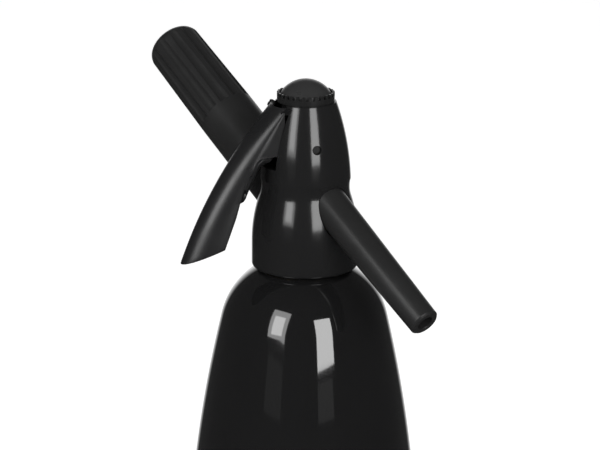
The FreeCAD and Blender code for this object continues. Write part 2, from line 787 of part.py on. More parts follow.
cap_plug = s.cap_bore - s.thread_gap
cap_base = s.head_top + s.cap_ring_foot
dome_base = cap_base + s.dome_shoulder
dome_round = (s.dome_radius * s.dome_radius + s.dome_rise * s.dome_rise) / (2 * s.dome_rise)
plug_bottom = s.head_top - s.cap_thread_depth + s.cap_plug_gap
on_head(turned("top_cap", [
    (s.cap_plug_bore, plug_bottom),
    (cap_plug, plug_bottom),
    (cap_plug, cap_base),
    (s.dome_radius, cap_base),
    (s.dome_radius, dome_base),
    (0, dome_base + s.dome_rise, out(dome_round)),
    (0, s.cap_ceiling),
    (s.cap_plug_bore, s.cap_ceiling),
]))
ring_wall_inner = s.dome_radius + s.cap_ring_gap
ring_head_top = s.head_top + s.cap_ring_height
crown = turned("cap_ring", [
    (s.cap_bore, s.head_top),
    (s.cap_ring_radius, s.head_top),
    (s.cap_ring_radius, ring_head_top),
    (ring_wall_inner, ring_head_top),
    (ring_wall_inner, cap_base),
    (s.cap_bore, cap_base),
])


def patterned(body, tool, count, name):
    """Repeat the last cut of a body round its Z axis."""
    pattern = body.newObject("PartDesign::PolarPattern", name)
    pattern.Originals = [tool]
    pattern.Axis = (next(item for item in body.Origin.OriginFeatures if item.Role == "Z_Axis"), [""])
    pattern.Angle = 360
    pattern.setExpression("Occurrences", count.text)
    body.Tip = pattern
    return pattern


def cut_up(body, outline_sketch, depth, name):
    """A pocket that runs up from its sketch."""
    pocket = body.newObject("PartDesign::Pocket", name)
    pocket.Profile = outline_sketch
    pocket.setExpression("Length", depth.text)
    pocket.Reversed = True
    return pocket


notch_half = s.tooth_gap / 2
notch = drawn(crown, "XY_Plane", [
    (s.dome_radius - s.cut_margin, -notch_half),
    (s.cap_ring_radius + s.cut_margin, -notch_half),
    (s.cap_ring_radius + s.cut_margin, notch_half),
    (s.dome_radius - s.cut_margin, notch_half),
], ring_head_top - s.tooth_depth)
patterned(crown, cut_up(crown, notch, s.tooth_depth + s.cut_margin, "tooth_notch"), s.tooth_count,
          "tooth_ring")
on_head(crown)

# spout: moulded tube pushed over a metal nipple

bore_in_spout = s.nipple_radius + s.slip_gap
along_spout(turned("spout", [
    (bore_in_spout, s.spout_root),
    (s.spout_root_radius, s.spout_root),
    (s.spout_mouth_radius, s.spout_reach - s.spout_bevel),
    (s.spout_mouth_radius - s.spout_bevel, s.spout_reach),
    (s.spout_bore + s.pin_chamfer, s.spout_reach),
    (s.spout_bore, s.spout_reach - s.pin_chamfer),
    (s.spout_bore, s.nipple_end + s.rest_gap),
    (bore_in_spout, s.nipple_end + s.rest_gap),
]))
groove_floor = s.nipple_radius - s.nipple_groove_depth
groove_end = s.nipple_groove + s.nipple_groove_width
along_spout(turned("spout_nipple", [
    (s.nipple_bore, s.nipple_start),
    (s.nipple_radius, s.nipple_start),
    (s.nipple_radius, s.nipple_groove),
    (groove_floor, s.nipple_groove),
    (groove_floor, groove_end),
    (s.nipple_radius, groove_end),
    (s.nipple_radius, s.nipple_end),
    (s.nipple_bore, s.nipple_end),
]))
spout_section = (bore_in_spout - groove_floor) / 2 - s.pin_play / 2
along_spout(o_ring("spout_seal", (bore_in_spout + groove_floor) / 2, spout_section),
            (s.nipple_groove + groove_end) / 2)

# charger socket: threaded boss that carries the piercing pin and the charger seal

socket_face = s.gas_boss_end + s.socket_washer
pierce_bore = s.pierce_radius + s.pin_play
along_holder(turned("charger_socket", [
    (pierce_bore, s.socket_nose_start),
    (s.socket_nose_radius, s.socket_nose_start),
    (s.socket_nose_radius, socket_face),
    (s.socket_radius, socket_face),
    (s.socket_radius, s.socket_end - s.socket_chamfer),
    (s.socket_radius - s.socket_chamfer, s.socket_end),
    (s.socket_neck_radius, s.socket_end),
    (s.socket_neck_radius, s.socket_floor),
    (pierce_bore, s.socket_floor),
]))
along_holder(ring("socket_seal", s.socket_nose_radius + s.slip_gap, s.gas_boss_radius - s.gasket_inset,
                  s.gas_boss_end, socket_face))
tip_taper = s.pierce_radius - s.pierce_bore
along_holder(turned("piercing_pin", [
    (s.pierce_bore, s.pierce_root),
    (s.pierce_radius, s.pierce_root),
    (s.pierce_radius, s.socket_floor + s.charger_seal_thickness / 2),
    (s.charger_hole - s.thread_gap, s.pierce_tip - tip_taper / 2),
    (s.charger_hole - s.thread_gap, s.pierce_tip),
    (s.pierce_bore, s.pierce_tip),
]))
along_holder(ring("charger_seal", pierce_bore + s.slip_gap, s.socket_neck_radius - s.slip_gap,
                  s.socket_floor, s.socket_floor + s.charger_seal_thickness))

# gas charger: drawn steel bulb, neck towards the piercing pin

neck_end = s.charger_start + s.charger_neck_length
shoulder_end = s.charger_start + s.charger_shoulder
charger_end = s.charger_start + s.charger_length
bulb_end = charger_end - s.charger_dome
bulb_round = (s.charger_radius * s.charger_radius + s.charger_dome * s.charger_dome) / (
    2 * s.charger_dome)
neck_edge = s.charger_wall / 2
along_holder(bowed("gas_charger", [
    (s.charger_hole, s.charger_start),
    (s.charger_neck_radius - neck_edge, s.charger_start),
    (s.charger_neck_radius, s.charger_start + neck_edge, out(neck_edge)),
    (s.charger_neck_radius, neck_end),
    (s.charger_flare_radius, neck_end + s.charger_flare_rise, dip(s.charger_neck_radius)),
    (s.charger_radius, shoulder_end, out(s.charger_radius)),
    (s.charger_radius, bulb_end),
    (0, charger_end, out(bulb_round)),
    (0, charger_end - s.charger_wall),
    (s.charger_radius - s.charger_wall, bulb_end, dip(bulb_round - s.charger_wall)),
    (s.charger_radius - s.charger_wall, shoulder_end),
    (s.charger_neck_radius - s.charger_wall, neck_end + s.charger_wall),
    (s.charger_neck_radius - s.charger_wall, s.charger_start + s.charger_wall),
    (s.charger_hole, s.charger_start + s.charger_wall),
]))

# charger holder: moulded grip with long flutes and a metal thread liner

holder_start = s.holder_seam + s.seam_gap
liner_bore = s.socket_radius + s.slip_gap
liner_outer = liner_bore + s.liner_wall
liner_end = holder_start + s.seam_gap + s.liner_length
along_holder(ring("holder_liner", liner_bore, liner_outer, holder_start + s.seam_gap, liner_end))
corner_start = s.holder_far_radius - s.holder_corner
corner_angle = QUARTER_TURN - s.holder_crown_tilt
corner_radius = corner_start + s.holder_corner * cosine(corner_angle)
crown_round = corner_radius / sine(s.holder_crown_tilt)
crown_rise = crown_round - crown_round * cosine(s.holder_crown_tilt)
corner_base = s.holder_reach - crown_rise - s.holder_corner * sine(corner_angle)
grip_bore = s.charger_radius + s.holder_play
grip_round = (grip_bore * grip_bore + s.charger_dome * s.charger_dome) / (2 * s.charger_dome)
grip = turned("charger_holder", [
    (liner_outer, holder_start),
    (s.holder_radius - s.seam_gap, holder_start),
    (s.holder_radius, holder_start + s.seam_gap),
    (s.holder_radius, s.flute_start),
    (s.holder_far_radius, corner_base),
    (corner_radius, corner_base + s.holder_corner * sine(corner_angle), out(s.holder_corner)),
    (0, s.holder_reach, out(crown_round)),
    (0, charger_end + s.holder_play),
    (grip_bore, bulb_end + s.holder_play, dip(grip_round)),
    (grip_bore, liner_end),
    (liner_outer, liner_end),
])
flute_reach = s.holder_radius + s.flute_radius - s.flute_depth
flute = disc_drawn(grip, flute_reach, s.flute_radius, s.flute_start)
patterned(grip, cut_up(grip, flute, s.holder_reach, "flute"), s.flute_count, "flutes")
along_holder(grip)

# head housing: moulded bell with the holder's boss, the lever slot and the pin and spout holes

thread_bottom = s.head_top - s.cap_thread_depth
cavity_radius = s.waist_radius - s.housing_wall
cavity_top_radius = s.head_top_radius - s.head_edge
cavity_bow = s.dome_bow - s.housing_wall
collar_room = s.collar_radius + s.collar_gap
below_waist = s.waist_height - s.waist_half
above_waist = s.waist_height + s.waist_half
waist_edge = s.waist_radius + s.waist_blend - root(s.waist_blend * s.waist_blend - s.waist_half * s.waist_half)
dome_foot = (waist_edge, above_waist)
dome_head = (s.head_top_radius, s.head_top - s.head_edge)
bell = bowed("housing_bell", [
    (collar_room, 0),
    (s.skirt_radius - s.skirt_edge, 0),
    (s.skirt_radius, s.skirt_edge, out(s.skirt_edge)),
    (s.skirt_radius, s.skirt_straight),
    (waist_edge, below_waist, out(s.skirt_bow)),
    (waist_edge, above_waist, dip(s.waist_blend)),
    (s.head_top_radius, s.head_top - s.head_edge, out(s.dome_bow)),
    (s.head_top_radius - s.head_edge, s.head_top, out(s.head_edge)),
    (s.cap_bore, s.head_top),
    (s.cap_bore, thread_bottom),
    (cavity_top_radius, thread_bottom),
    (cavity_radius, s.waist_height, dip(cavity_bow)),
    (collar_room - s.ledge_inset, s.collar_top),
    (collar_room, s.collar_top),
])
seat(bell, (0, 0, s.bottle_height), yaw=BELL_SEAM_TURN)
boss_start = s.column_radius
boss = along_holder(rod("holder_boss", s.holder_radius, s.holder_seam - boss_start), boss_start)
cavity = on_head(bowed("housing_cavity", [
    (0, 0),
    (collar_room, 0),
    (collar_room, s.collar_top),
    (collar_room - s.ledge_inset, s.collar_top),
    (cavity_radius, s.waist_height),
    (cavity_top_radius, thread_bottom, out(cavity_bow)),
    (0, thread_bottom),
]))
socket_room = along_holder(rod("socket_room", s.socket_radius + s.boss_bore_gap, s.holder_seam), boss_start)
spout_hole = along_spout(rod("spout_hole", s.spout_root_radius + s.spout_hole_gap, head_across), boss_start)
slot_half_width = s.lever_top_width / 2 + s.slot_side_gap
lip_reach = s.cap_bore + s.slot_lip
slot = in_lever_frame(block("lever_slot", s.waist_radius, 2 * slot_half_width,
                            thread_bottom - s.slot_bottom),
                      s.lever_hub, -slot_half_width, s.slot_bottom)
notch_top = in_lever_frame(block("lever_notch", s.waist_radius, 2 * slot_half_width,
                                 s.cap_thread_depth + s.cut_margin),
                           lip_reach, -slot_half_width, thread_bottom)
pin_hole = across_lever(rod("pin_hole", s.pin_radius + s.pin_play / 2, head_across),
                        s.pin_reach, -s.waist_radius, s.pin_height)
less("head_housing", joined("housing_blank", bell, less("holder_boss_open", boss, cavity)),
     socket_room, spout_hole, slot, notch_top, pin_hole)

# lever pin: plain steel dowel, pressed in the housing a little below its surface

housing_reach = reach_of_bow(dome_foot, dome_head, s.dome_bow, s.pin_height)
pin_half = root(housing_reach * housing_reach - s.pin_reach * s.pin_reach) - s.pin_inset
pin_length = 2 * pin_half
across_lever(turned("lever_pin", [
    (0, 0),
    (s.pin_radius - s.pin_chamfer, 0),
    (s.pin_radius, s.pin_chamfer),
    (s.pin_radius, pin_length - s.pin_chamfer),
    (s.pin_radius - s.pin_chamfer, pin_length),
    (0, pin_length),
]), s.pin_reach, -pin_half, s.pin_height)

# lever: moulded channel that arches down over the side of the head, two cheeks on the pin

crown_start = FreeCAD.Vector(s.lever_crown_reach.value, 0, s.lever_crown_height.value)
crown_end = FreeCAD.Vector(s.lever_tip_reach.value, 0, s.lever_tip_height.value)
crown_chord = crown_end - crown_start
crown_round = crown_chord.Length ** 2 / (8 * s.lever_bow.value) + s.lever_bow.value / 2
crown_normal = FreeCAD.Vector(-crown_chord.z, 0, crown_chord.x).normalize()
crown_centre = (crown_start + crown_end) / 2 + crown_normal * (s.lever_bow.value - crown_round)
start_angle = math.atan2(crown_start.z - crown_centre.z, crown_start.x - crown_centre.x)
end_angle = math.atan2(crown_end.z - crown_centre.z, crown_end.x - crown_centre.x)
LEVER_STATIONS = (-0.25, 0.0, 0.25, 0.5, 0.75, 1.0, 1.1)
ARCH_STEPS = 6


def lever_section(along, inset):
    """The channel's outline square to the crown: an elliptical arch on two straight sides."""
    angle = start_angle + (end_angle - start_angle) * along
    normal = FreeCAD.Vector(math.cos(angle), 0, math.sin(angle))
    top = crown_centre + normal * (crown_round - inset)
    width = s.lever_top_width.value + (s.lever_tip_width.value - s.lever_top_width.value) * along
    arch = s.lever_top_arch.value + (s.lever_tip_arch.value - s.lever_top_arch.value) * along
    spread = math.radians(s.lever_arch_spread.value)
    across, down = (width / 2 - inset) / math.sin(spread), arch / (1 - math.cos(spread))
    side = FreeCAD.Vector(0, 1, 0)
    points = []
    for step in range(-ARCH_STEPS, ARCH_STEPS + 1):
        bend = spread * step / ARCH_STEPS
        points.append(top + side * (across * math.sin(bend)) - normal * (down * (1 - math.cos(bend))))
    crown = Part.BSplineCurve()
    crown.interpolate(points)
    feet = [point - normal * (s.lever_depth.value - arch) for point in (points[-1], points[0])]
    sides = Part.makePolygon([points[-1], *feet, points[0]])
    return Part.Wire([crown.toShape(), *sides.Edges])


def channel(inset):
    """The solid under the crown, inset from the lever's outer skin."""
    return Part.makeLoft([lever_section(along, inset) for along in LEVER_STATIONS], True, False)


def lever_side(corners):
    """A slab across the lever with this side outline of (reach, height, rounding)."""
    half_slab = FreeCAD.Vector(0, s.lever_tip_width.value, 0)
    spots = [FreeCAD.Vector(reach, 0, height) - half_slab for reach, height, rounding in corners]
    edges, last = [], None
    for index, (reach, height, rounding) in enumerate(corners):
        spot = spots[index]
        before = (spots[index - 1] - spot).normalize()
        after = (spots[(index + 1) % len(spots)] - spot).normalize()
        half = before.getAngle(after) / 2
        enter, leave = [spot + way * (rounding / math.tan(half)) for way in (before, after)]
        if last is not None:
            edges.append(Part.LineSegment(last, enter).toShape())
        if rounding:
            inward = (before + after).normalize()
            middle = spot + inward * (rounding / math.sin(half) - rounding)
            edges.append(Part.Arc(enter, middle, leave).toShape())
        last = leave
        if index == 0:
            first = enter
    edges.append(Part.LineSegment(last, first).toShape())
    return Part.Face(Part.Wire(edges)).extrude(half_slab * 2)


def lever_wall_cylinder(reach, height, radius):
    """A round slab across the lever."""
    half_slab = s.lever_tip_width.value
    base = FreeCAD.Vector(reach, -half_slab, height)
    return Part.makeCylinder(radius, 2 * half_slab, base, FreeCAD.Vector(0, 1, 0))


hub_bottom = s.pin_height.value - s.lever_hub.value
tip_tangent = FreeCAD.Vector(-math.sin(end_angle), 0, math.cos(end_angle))
above_crown = crown_end + tip_tangent * ((s.lever_top_height.value - crown_end.z) / tip_tangent.z)
end_cut = FreeCAD.Vector(s.lever_end_reach.value, 0, s.lever_end_height.value)
rim = [
    (s.lever_rim_low_reach.value, s.lever_rim_low_height.value, 0),
    (s.lever_rim_reach.value, s.lever_rim_height.value, 0),
    (s.lever_rim_high_reach.value, s.lever_rim_high_height.value, s.lever_hub.value),
    (s.lever_arm_reach.value, hub_bottom, 0),
    (s.pin_reach.value, hub_bottom, 0),
    (s.pin_reach.value, s.pin_height.value + s.lever_hub.value, 0),
    (s.lever_back_reach.value, s.lever_back_height.value, 0),
    (s.lever_top_reach.value, s.lever_back_top.value, 0),
    (s.lever_top_reach.value, s.lever_top_height.value, 0),
]
outer_side = lever_side(rim + [
    (above_crown.x, above_crown.z, 0),
    (crown_end.x, crown_end.z, s.lever_tip_round.value),
    (end_cut.x, end_cut.z, s.lever_end_round.value),
])
nose = FreeCAD.Vector(s.pin_reach.value - s.lever_nose_arm.value, 0, s.pin_height.value)
nose_side = lever_side([
    (nose.x, nose.z - s.lever_nose.value, 0),
    (s.pin_reach.value, hub_bottom, 0),
    (s.pin_reach.value, s.pin_height.value + s.lever_nose.value, 0),
    (nose.x, nose.z + s.lever_nose.value, 0),
])
hub = lever_wall_cylinder(s.pin_reach.value, s.pin_height.value, s.lever_hub.value)
nose_round = lever_wall_cylinder(nose.x, nose.z, s.lever_nose.value)
profile = outer_side.multiFuse([nose_side, hub, nose_round])
end_way = (end_cut - crown_end).normalize()
end_normal = FreeCAD.Vector(-end_way.z, 0, end_way.x)
end_lift = end_normal * math.copysign(s.lever_wall.value, end_normal.z)
hollow = channel(s.lever_wall.value).common(lever_side([
    (nose.x - s.lever_hub.value, hub_bottom - s.lever_hub.value, 0),
    (nose.x - s.lever_hub.value, s.lever_top_height.value + s.lever_wall.value, 0),
    (above_crown.x, above_crown.z + s.lever_wall.value, 0),
    ((crown_end + end_lift - end_way).x, (crown_end + end_lift - end_way).z, 0),
    ((end_cut + end_lift + end_way * s.lever_depth.value).x,
     (end_cut + end_lift + end_way * s.lever_depth.value).z, 0),
]))
lever_bore = lever_wall_cylinder(s.pin_reach.value, s.pin_height.value,
                                 s.pin_radius.value + s.pin_play.value)
lever = doc.addObject("Part::Feature", "lever")
lever.Shape = channel(0).common(profile).cut(hollow).cut(lever_bore)
in_lever_frame(lever)

# every piece is checked, then written under its own name

PIECES = (
    "bottle", "base_ring", "head_gasket", "head_housing", "valve_body", "riser_tube", "riser_seal",
    "riser_nut", "valve_stem", "valve_disc", "seal_washer", "stem_seal", "stem_gland",
    "valve_spring", "top_cap", "cap_ring", "lever", "lever_pin", "spout", "spout_nipple",
    "spout_seal", "charger_socket", "socket_seal", "piercing_pin", "charger_seal", "gas_charger",
    "charger_holder", "holder_liner", "check_ball", "check_spring", "check_plug",
    "relief_poppet", "relief_spring", "relief_cap",
)
doc.recompute()
for item in doc.Objects:
    if {"Invalid", "Error"} & set(item.State):
        raise RuntimeError(f"{item.Label} did not build: {item.State}")
os.makedirs("parts", exist_ok=True)
for label in PIECES:
    piece = doc.getObjectsByLabel(label)[0]
    shape = piece.Shape
    if shape.isNull() or not shape.isValid() or len(shape.Solids) != 1:
        raise RuntimeError(f"{label} is not one sound solid")
    shape.exportStep(f"parts/{label}.step")
    print(label, round(shape.Volume, 1))
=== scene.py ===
"""Soda siphon: a black lacquered bottle under a moulded head with a lever, a spout and a charger holder."""
import math

import bmesh
import bpy
from mathutils import Matrix, Vector


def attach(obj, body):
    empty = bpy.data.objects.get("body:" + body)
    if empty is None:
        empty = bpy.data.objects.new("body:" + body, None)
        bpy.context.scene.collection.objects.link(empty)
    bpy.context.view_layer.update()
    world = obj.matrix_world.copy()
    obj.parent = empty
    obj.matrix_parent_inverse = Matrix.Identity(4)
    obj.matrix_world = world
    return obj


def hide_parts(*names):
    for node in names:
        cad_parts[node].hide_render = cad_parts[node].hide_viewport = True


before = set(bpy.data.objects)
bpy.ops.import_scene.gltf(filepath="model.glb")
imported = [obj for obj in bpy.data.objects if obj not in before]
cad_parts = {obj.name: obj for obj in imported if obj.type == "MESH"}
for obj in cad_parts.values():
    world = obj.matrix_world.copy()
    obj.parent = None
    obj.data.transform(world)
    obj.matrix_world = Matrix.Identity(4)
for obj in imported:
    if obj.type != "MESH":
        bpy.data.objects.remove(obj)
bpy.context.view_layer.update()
MM = 0.001

# Bottle: one aluminium shell, deep drawn and then spun in over the shoulder to a threaded neck.
# It is sprayed with gloss black lacquer, which lies in soft waves and mirrors the lamps sharply.


def bow(start, end, radius, turn):
    """Points along a short arc from start to end, anticlockwise for a turn of 1."""
    start, end = Vector(start), Vector(end)
    chord = end - start
    left = Vector((-chord.y, chord.x)).normalized()
    rise = math.sqrt(max(radius ** 2 - (chord.length / 2) ** 2, 0.0))
    centre = (start + end) / 2 + left * (rise * turn)
    first, last = start - centre, end - centre
    swing = math.atan2(first.x * last.y - first.y * last.x, first.dot(last))
    steps = max(3, round(abs(swing) / math.radians(3)), round(chord.length / 1.5))
    points = []
    for step in range(1, steps + 1):
        turned = swing * step / steps
        cosine, sine = math.cos(turned), math.sin(turned)
        across, along_it = first.x * cosine - first.y * sine, first.x * sine + first.y * cosine
        points.append(centre + Vector((across, along_it)))
    return points


def eased(points, ease):
    """The closed outline with each hard corner turned in a small round of about this radius."""
    result = []
    for index, point in enumerate(points):
        before, after = points[index - 1] - point, points[(index + 1) % len(points)] - point
        if before.length < 1e-6 or after.length < 1e-6:
            continue
        bend = math.pi - before.angle(after)
        if bend < math.radians(14) or point.x < 1e-6:
            result.append(point)
            continue
        cut = min(ease * math.tan(bend / 2), 0.4 * before.length, 0.4 * after.length)
        enter, leave = point + before.normalized() * cut, point + after.normalized() * cut
        hold = min(0.15, 0.2 * before.length, 0.2 * after.length)
        result.append(enter + before.normalized() * hold)
        for step in range(5):
            share = step / 4
            result.append(enter * (1 - share) ** 2 + point * (2 * share * (1 - share)) + leave * share ** 2)
        result.append(leave + after.normalized() * hold)
    return result


def outline_of(corners, ease=0.25):
    """A closed outline in millimetres from corners (radius, height) or (radius, height, bow radius, turn)."""
    points = []
    for index, corner in enumerate(corners):
        start = corners[index - 1][:2]
        points += bow(start, corner[:2], *corner[2:]) if len(corner) == 4 else [Vector(corner)]
    return eased(points, ease)


def piece_from(name, bm, body, *stands_for, sharp=40):
    """Turns the mesh into a piece of this name that rides on its body and stands for its nodes."""
    bmesh.ops.recalc_face_normals(bm, faces=bm.faces)
    mesh = bpy.data.meshes.new(name)
    bm.to_mesh(mesh)
    bm.free()
    mesh.shade_smooth()
    mesh.set_sharp_from_angle(angle=math.radians(sharp))
    piece = bpy.data.objects.new(name, mesh)
    bpy.context.scene.collection.objects.link(piece)
    if body:
        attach(piece, body)
        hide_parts(*stands_for)
    return piece


def skinned(bm, rings):
    """Joins each ring of corners to the next one with faces, and the last one to the first."""
    for one, two in zip(rings, rings[1:] + rings[:1]):
        for side in range(len(one)):
            corners = [one[side], one[(side + 1) % len(one)], two[(side + 1) % len(two)], two[side]]
            corners = [vert for index, vert in enumerate(corners) if vert not in corners[:index]]
            if len(corners) > 2:
                bm.faces.new(corners)


def spun(outline, sides, place=Matrix(), swell=None):
    """A mesh spun about Z from an outline in millimetres, then put in place. swell(angle, radius, height)
    gives the radius where the piece isn't round."""
    bm = bmesh.new()
    rings = []
    for point in outline:
        if point.x < 1e-6:
            rings.append([bm.verts.new((0, 0, point.y * MM))] * sides)
            continue
        ring = []
        for side in range(sides):
            angle = 2 * math.pi * side / sides
            radius = swell(angle, point.x, point.y) if swell else point.x
            spot = (radius * math.cos(angle) * MM, radius * math.sin(angle) * MM, point.y * MM)
            ring.append(bm.verts.new(spot))
        rings.append(ring)
    skinned(bm, rings)
    bm.transform(place)
    return bm


def finish(name, dark, light, rough, spread, cloud, grain, relief, metallic=0.0, coat=0.0, stretch=(1, 1, 1)):
    """A finish whose colour drifts in clouds, whose roughness drifts with it and whose skin has a fine grain.
    Clouds and grain are wavelengths in millimetres, relief is the grain's height in micrometres."""
    material = bpy.data.materials.new(name)
    material.use_nodes = True
    tree = material.node_tree
    shader = tree.nodes["Principled BSDF"]
    shader.inputs["Metallic"].default_value = metallic
    shader.inputs["Coat Weight"].default_value = coat
    shader.inputs["Coat Roughness"].default_value = 0.03
    place = tree.nodes.new("ShaderNodeTexCoord")
    scaled = tree.nodes.new("ShaderNodeMapping")
    scaled.inputs["Scale"].default_value = stretch
    tree.links.new(place.outputs["Object"], scaled.inputs["Vector"])
    clouds = tree.nodes.new("ShaderNodeTexNoise")
    clouds.inputs["Scale"].default_value = 1000 / cloud
    clouds.inputs["Detail"].default_value = 5
    tint = tree.nodes.new("ShaderNodeMix")
    tint.data_type = "RGBA"
    tint.inputs["A"].default_value = (*dark, 1)
    tint.inputs["B"].default_value = (*light, 1)
    worn = tree.nodes.new("ShaderNodeMapRange")
    worn.inputs["From Min"].default_value = 0.3
    worn.inputs["From Max"].default_value = 0.7
    worn.inputs["To Min"].default_value = rough - spread
    worn.inputs["To Max"].default_value = rough + spread
    skin = tree.nodes.new("ShaderNodeTexNoise")
    skin.inputs["Scale"].default_value = 1000 / grain
    skin.inputs["Detail"].default_value = 3
    bump = tree.nodes.new("ShaderNodeBump")
    bump.inputs["Distance"].default_value = relief * 1e-6
    for texture in (clouds, skin):
        tree.links.new(scaled.outputs["Vector"], texture.inputs["Vector"])
    tree.links.new(clouds.outputs["Fac"], tint.inputs["Factor"])
    tree.links.new(clouds.outputs["Fac"], worn.inputs["Value"])
    tree.links.new(tint.outputs["Result"], shader.inputs["Base Color"])
    tree.links.new(worn.outputs["Result"], shader.inputs["Roughness"])
    tree.links.new(skin.outputs["Fac"], bump.inputs["Height"])
    tree.links.new(bump.outputs["Normal"], shader.inputs["Normal"])
    return material


def dressed(piece, material):
    """Gives a piece its finish, in its one material slot."""
    piece.data.materials.clear()
    piece.data.materials.append(material)
    return piece


bottle_outline = outline_of([
    (0, 7), (36, 2, 132.1, -1), (44.56, 2), (52.56, 10, 8, 1), (53.1, 40, 834, 1), (37.12, 177.553, 600, 1),
    (20.5, 199.5, 34, 1), (17.5, 201.2), (17.5, 214), (15, 214), (15, 200.349),
    (35.66, 177.209, 32.5, -1), (51.6, 40, 598.5, -1), (51.06, 10, 832.5, -1), (44.56, 3.5, 6.5, -1),
    (36, 3.5), (0, 8.5, 132.1, 1),
])
THREAD_PITCH = 3.0


def neck_thread(angle, radius, height):
    """Cuts a rounded thread in the outside of the neck."""
    if not 202.2 < height < 213.2 or radius < 17.4:
        return radius
    turn = (height / THREAD_PITCH - angle / (2 * math.pi)) % 1
    fade = min(1, (height - 202.2) / 1.5, (213.2 - height) / 1.5)
    return radius - 0.7 * fade * math.exp(-((turn - 0.5) / 0.16) ** 2)


neck = [Vector((17.5, 202 + 0.25 * step)) for step in range(46)]
foot = next(index for index, point in enumerate(bottle_outline) if point.x < 17.6 and point.y > 201.5)
bottle_outline[foot:foot] = [point for point in neck if point.y > bottle_outline[foot - 1].y + 0.1]
bottle_outline = [point for index, point in enumerate(bottle_outline)
                  if index < foot + len(neck) or point.y < 213.3 or point.x < 17.49 or point.y > 213.5]
lacquer = finish("black lacquer", (0.006, 0.006, 0.0062), (0.009, 0.009, 0.0092), 0.07, 0.02, 40, 5, 2.5,
                 coat=1.0)
bottle = piece_from("bottle_shell", spun(bottle_outline, 256, swell=neck_thread), "bottle", "bottle")
dressed(bottle, lacquer)

# Base ring: a black rubber hoop, moulded and stretched over the foot to keep it from scratching.
# Three fine moulded beads run round its side.

ring_outline = outline_of([
    (36, 0), (52.16, 0), (53.66, 1.5, 1.5, 1), (53.66, 3.2), (53.46, 3.5), (53.66, 3.8), (53.66, 5.4),
    (53.46, 5.7), (53.66, 6.0), (53.66, 7.6), (53.46, 7.9), (53.66, 8.2), (53.66, 11), (52.66, 11), (52.66, 10),
    (44.56, 1.9, 8.1, -1), (36, 1.9),
], 0.3)
rubber = finish("black rubber", (0.016, 0.016, 0.016), (0.024, 0.024, 0.023), 0.62, 0.08, 12, 0.5, 25)
base_ring = piece_from("base_hoop", spun(ring_outline, 256), "bottle", "base_ring")
dressed(base_ring, rubber)

# Inside the head: turned brass valve body and gland, steel pins and springs, rubber seals, a plastic
# riser tube and the steel charger. All of them keep their solids' shapes and get their own finish.

brass = finish("turned brass", (0.62, 0.44, 0.17), (0.70, 0.50, 0.21), 0.26, 0.06, 9, 0.4, 6, metallic=1.0,
               stretch=(1, 1, 6))
steel = finish("ground steel", (0.56, 0.56, 0.57), (0.66, 0.66, 0.67), 0.24, 0.05, 6, 0.3, 4, metallic=1.0)
spring_steel = finish("spring steel", (0.42, 0.42, 0.43), (0.55, 0.55, 0.56), 0.3, 0.06, 4, 0.3, 5,
                      metallic=1.0)
blackened_steel = finish("blackened steel", (0.010, 0.010, 0.010), (0.02, 0.02, 0.02), 0.5, 0.08, 5, 0.3, 4)
plated_steel = finish("plated steel", (0.50, 0.51, 0.52), (0.62, 0.62, 0.63), 0.32, 0.08, 14, 0.6, 8,
                      metallic=1.0, stretch=(1, 1, 4))
seal_rubber = finish("seal rubber", (0.014, 0.014, 0.014), (0.022, 0.021, 0.020), 0.5, 0.06, 5, 0.3, 10)
milky_plastic = finish("milky plastic", (0.68, 0.68, 0.64), (0.78, 0.78, 0.75), 0.38, 0.05, 20, 1.0, 8)
INSIDE = (
    (brass, ("valve_body", "stem_gland", "riser_nut", "relief_cap", "check_plug", "charger_socket",
             "holder_liner", "valve_stem", "spout_nipple")),
    (steel, ("piercing_pin", "check_ball", "relief_poppet")),
    (blackened_steel, ("lever_pin",)),
    (spring_steel, ("valve_spring", "check_spring", "relief_spring")),
    (plated_steel, ("gas_charger",)),
    (seal_rubber, ("head_gasket", "riser_seal", "seal_washer", "stem_seal", "spout_seal", "socket_seal",
                   "charger_seal", "valve_disc")),
    (milky_plastic, ("riser_tube",)),
)
for material, nodes in INSIDE:
    for node in nodes:
        dressed(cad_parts[node], material)

# Head housing: one injection moulding in hard gloss black plastic, a straight skirt and a tapered top over
# a soft waist. It has a boss for the charger holder, a slot for the lever, and holes for the pin and spout.

HEAD = 200.0
on_head = Matrix.Translation((0, 0, HEAD * MM))


def along(height, angle, side):
    """Local Z runs out from the head's axis at this head height, tilted up by the angle towards +X or -X."""
    tilt = Matrix.Rotation(math.radians((90 - angle) * side), 4, "Y")
    return Matrix.Translation((0, 0, (HEAD + height) * MM)) @ tilt


SPOUT = along(41.8, -32.1, 1)
HOLDER = along(23.4, 32.7, -1)
LEVER = on_head @ Matrix.Rotation(math.radians(-110), 4, "Z")
PIN = Vector((1.5, 57))


def loose(name, bm):
    """A working solid that isn't a piece of the siphon."""
    return piece_from(name, bm, None)


def slab(name, low, high, place):
    """A working block between two corners in millimetres."""
    bm = bmesh.new()
    bmesh.ops.create_cube(bm, size=1)
    middle = (Vector(low) + Vector(high)) / 2 * MM
    size = (Vector(high) - Vector(low)) * MM
    bm.transform(place @ Matrix.Translation(middle) @ Matrix.Diagonal((*size, 1)))
    return loose(name, bm)


def worked(piece, how, *tools):
    """Joins the tools to the piece, or cuts them away, and removes them."""
    for tool in tools:
        step = piece.modifiers.new(tool.name, "BOOLEAN")
        step.operation = how
        step.solver = "EXACT"
        step.object = tool
    bpy.context.view_layer.update()
    solid = piece.evaluated_get(bpy.context.evaluated_depsgraph_get())
    mesh = bpy.data.meshes.new_from_object(solid)
    piece.modifiers.clear()
    piece.data = mesh
    for tool in tools:
        bpy.data.objects.remove(tool)
    mesh.set_sharp_from_angle(angle=math.radians(28))
    return piece


